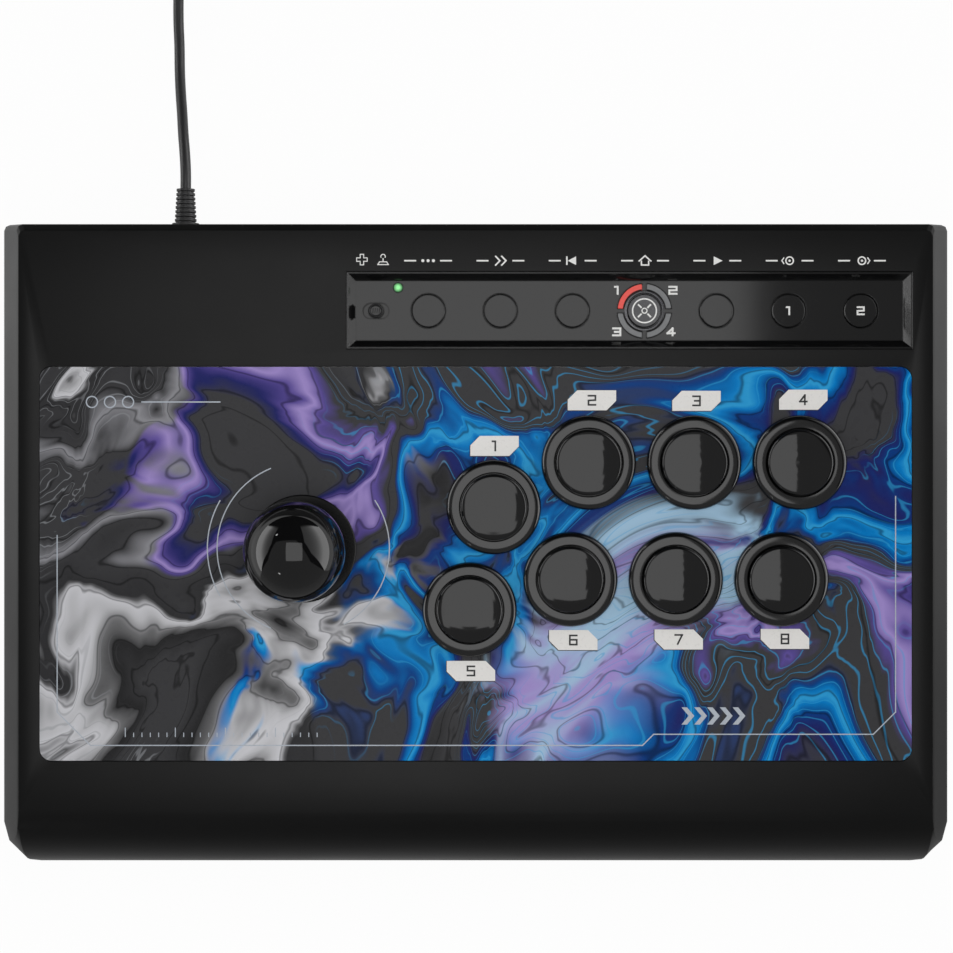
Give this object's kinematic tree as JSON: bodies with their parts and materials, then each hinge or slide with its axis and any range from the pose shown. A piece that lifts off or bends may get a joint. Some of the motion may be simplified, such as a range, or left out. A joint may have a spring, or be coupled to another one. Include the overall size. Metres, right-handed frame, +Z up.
{
  "type": "arcade fight stick",
  "caption": "Arcade fight stick with a ball-top lever, round push buttons, a recessed strip of keys and a corded plug on a wide low case.",
  "frame": {"origin": "middle of the footprint at floor level, without the cable, the strain relief and the plug", "axes": "+X towards the buttons at the right, +Y towards the rear where the cable leaves, +Z up"},
  "size_m": [0.348, 0.4035, 0.1175],
  "materials": {
    "top_case": "fine satin texture",
    "bottom_case": "fine satin texture",
    "rubber_feet": "matte",
    "case_screws": "black oxide",
    "mounting_plate": "zinc plated",
    "plate_screws": "black oxide",
    "art_panel": "glossy, printed from below",
    "control_fascia": "polished",
    "control_board": "lacquered circuit board",
    "control_switches": "satin",
    "main_board": "lacquered circuit board",
    "board_screws": "zinc plated",
    "status_led": "clear green lens",
    "player_light_ring": "smoked light pipe, one quarter lit red",
    "mode_switch_knob": "satin",
    "button_switches": "satin",
    "wiring_harness": "soft jacket",
    "ball_top": "polished",
    "lever_shaft": "ground",
    "shaft_cover": "smooth",
    "dust_washer": "satin",
    "lever_mount_plate": "zinc plated",
    "lever_housing": "moulded",
    "lever_pivot": "smooth acetal",
    "lever_spring": "spring wire",
    "lever_actuator": "moulded",
    "lever_e_clip": "spring steel",
    "restrictor_gate": "moulded",
    "lever_board": "lacquered circuit board",
    "lever_switches": "moulded",
    "lever_screws": "zinc plated",
    "strain_relief": "satin",
    "usb_cable": "satin jacket",
    "usb_cable_coil": "satin jacket",
    "cable_tie": "woven strap",
    "usb_plug_body": "satin",
    "usb_plug_shell": "nickel plated",
    "button_1_bezel": "polished",
    "button_1_plunger": "polished",
    "button_2_bezel": "polished",
    "button_2_plunger": "polished",
    "button_3_bezel": "polished",
    "button_3_plunger": "polished",
    "button_4_bezel": "polished",
    "button_4_plunger": "polished",
    "button_5_bezel": "polished",
    "button_5_plunger": "polished",
    "button_6_bezel": "polished",
    "button_6_plunger": "polished",
    "button_7_bezel": "polished",
    "button_7_plunger": "polished",
    "button_8_bezel": "polished",
    "button_8_plunger": "polished",
    "key_1": "polished",
    "key_2": "polished",
    "key_3": "polished",
    "home_key": "polished",
    "key_5": "polished",
    "key_6": "polished",
    "key_7": "polished"
  },
  "bodies": {
    "case": {"top_case": "top_case", "bottom_case": "bottom_case", "rubber_feet": "rubber_feet", "case_screws": "case_screws", "mounting_plate": "mounting_plate", "plate_screws": "plate_screws", "art_panel": "art_panel", "control_fascia": "control_fascia", "control_board": "control_board", "control_switches": "control_switches", "main_board": "main_board", "board_screws": "board_screws", "status_led": "status_led", "player_light_ring": "player_light_ring", "button_switches": "button_switches", "wiring_harness": "wiring_harness", "lever_mount_plate": "lever_mount_plate", "lever_housing": "lever_housing", "restrictor_gate": "restrictor_gate", "lever_board": "lever_board", "lever_switches": "lever_switches", "lever_screws": "lever_screws", "strain_relief": "strain_relief", "usb_cable": "usb_cable", "usb_cable_coil": "usb_cable_coil", "cable_tie": "cable_tie", "usb_plug_body": "usb_plug_body", "usb_plug_shell": "usb_plug_shell", "button_1_bezel": "button_1_bezel", "button_2_bezel": "button_2_bezel", "button_3_bezel": "button_3_bezel", "button_4_bezel": "button_4_bezel", "button_5_bezel": "button_5_bezel", "button_6_bezel": "button_6_bezel", "button_7_bezel": "button_7_bezel", "button_8_bezel": "button_8_bezel"},
    "lever_sway": {"lever_spring": "lever_spring"},
    "lever_tilt": {"lever_pivot": "lever_pivot", "shaft_cover": "shaft_cover", "dust_washer": "dust_washer"},
    "lever_turn": {"lever_shaft": "lever_shaft", "ball_top": "ball_top", "lever_actuator": "lever_actuator", "lever_e_clip": "lever_e_clip"},
    "mode_switch": {"mode_switch_knob": "mode_switch_knob"},
    "button_1": {"button_1_plunger": "button_1_plunger"},
    "button_2": {"button_2_plunger": "button_2_plunger"},
    "button_3": {"button_3_plunger": "button_3_plunger"},
    "button_4": {"button_4_plunger": "button_4_plunger"},
    "button_5": {"button_5_plunger": "button_5_plunger"},
    "button_6": {"button_6_plunger": "button_6_plunger"},
    "button_7": {"button_7_plunger": "button_7_plunger"},
    "button_8": {"button_8_plunger": "button_8_plunger"},
    "key_1": {"key_1": "key_1"},
    "key_2": {"key_2": "key_2"},
    "key_3": {"key_3": "key_3"},
    "home_key": {"home_key": "home_key"},
    "key_5": {"key_5": "key_5"},
    "key_6": {"key_6": "key_6"},
    "key_7": {"key_7": "key_7"}
  },
  "joints": [
    {"name": "lever_sway", "type": "hinge", "parent": "case", "child": "lever_sway", "pos_m": [-0.062, 0.0005, 0.042], "axis": [0, 1, 0], "range_deg": [-8, 8], "stiffness_Nm_per_rad": 0.6, "deforming": ["lever_spring"]},
    {"name": "lever_tilt", "type": "hinge", "parent": "lever_sway", "child": "lever_tilt", "pos_m": [-0.062, 0.0005, 0.042], "axis": [1, 0, 0], "range_deg": [-8, 8], "stiffness_Nm_per_rad": 0.6},
    {"name": "lever_turn", "type": "hinge", "parent": "lever_tilt", "child": "lever_turn", "pos_m": [-0.062, 0.0005, 0.042], "axis": [0, 0, 1], "continuous": true},
    {"name": "button_1_press", "type": "slide", "parent": "case", "child": "button_1", "axis": [0, 0, -1], "range_m": [0, 0.0035], "stiffness_N_per_m": 250, "springref_m": -0.002},
    {"name": "button_2_press", "type": "slide", "parent": "case", "child": "button_2", "axis": [0, 0, -1], "range_m": [0, 0.0035], "stiffness_N_per_m": 250, "springref_m": -0.002},
    {"name": "button_3_press", "type": "slide", "parent": "case", "child": "button_3", "axis": [0, 0, -1], "range_m": [0, 0.0035], "stiffness_N_per_m": 250, "springref_m": -0.002},
    {"name": "button_4_press", "type": "slide", "parent": "case", "child": "button_4", "axis": [0, 0, -1], "range_m": [0, 0.0035], "stiffness_N_per_m": 250, "springref_m": -0.002},
    {"name": "button_5_press", "type": "slide", "parent": "case", "child": "button_5", "axis": [0, 0, -1], "range_m": [0, 0.0035], "stiffness_N_per_m": 250, "springref_m": -0.002},
    {"name": "button_6_press", "type": "slide", "parent": "case", "child": "button_6", "axis": [0, 0, -1], "range_m": [0, 0.0035], "stiffness_N_per_m": 250, "springref_m": -0.002},
    {"name": "button_7_press", "type": "slide", "parent": "case", "child": "button_7", "axis": [0, 0, -1], "range_m": [0, 0.0035], "stiffness_N_per_m": 250, "springref_m": -0.002},
    {"name": "button_8_press", "type": "slide", "parent": "case", "child": "button_8", "axis": [0, 0, -1], "range_m": [0, 0.0035], "stiffness_N_per_m": 250, "springref_m": -0.002},
    {"name": "key_1_press", "type": "slide", "parent": "case", "child": "key_1", "axis": [0, 0, -1], "range_m": [0, 0.0006], "stiffness_N_per_m": 1500, "springref_m": -0.0004},
    {"name": "key_2_press", "type": "slide", "parent": "case", "child": "key_2", "axis": [0, 0, -1], "range_m": [0, 0.0006], "stiffness_N_per_m": 1500, "springref_m": -0.0004},
    {"name": "key_3_press", "type": "slide", "parent": "case", "child": "key_3", "axis": [0, 0, -1], "range_m": [0, 0.0006], "stiffness_N_per_m": 1500, "springref_m": -0.0004},
    {"name": "home_key_press", "type": "slide", "parent": "case", "child": "home_key", "axis": [0, 0, -1], "range_m": [0, 0.0006], "stiffness_N_per_m": 1500, "springref_m": -0.0004},
    {"name": "key_5_press", "type": "slide", "parent": "case", "child": "key_5", "axis": [0, 0, -1], "range_m": [0, 0.0006], "stiffness_N_per_m": 1500, "springref_m": -0.0004},
    {"name": "key_6_press", "type": "slide", "parent": "case", "child": "key_6", "axis": [0, 0, -1], "range_m": [0, 0.0006], "stiffness_N_per_m": 1500, "springref_m": -0.0004},
    {"name": "key_7_press", "type": "slide", "parent": "case", "child": "key_7", "axis": [0, 0, -1], "range_m": [0, 0.0006], "stiffness_N_per_m": 1500, "springref_m": -0.0004},
    {"name": "mode_switch_slide", "type": "slide", "parent": "case", "child": "mode_switch", "axis": [1, 0, 0], "range_m": [-0.0015, 0.0015]}
  ]
}
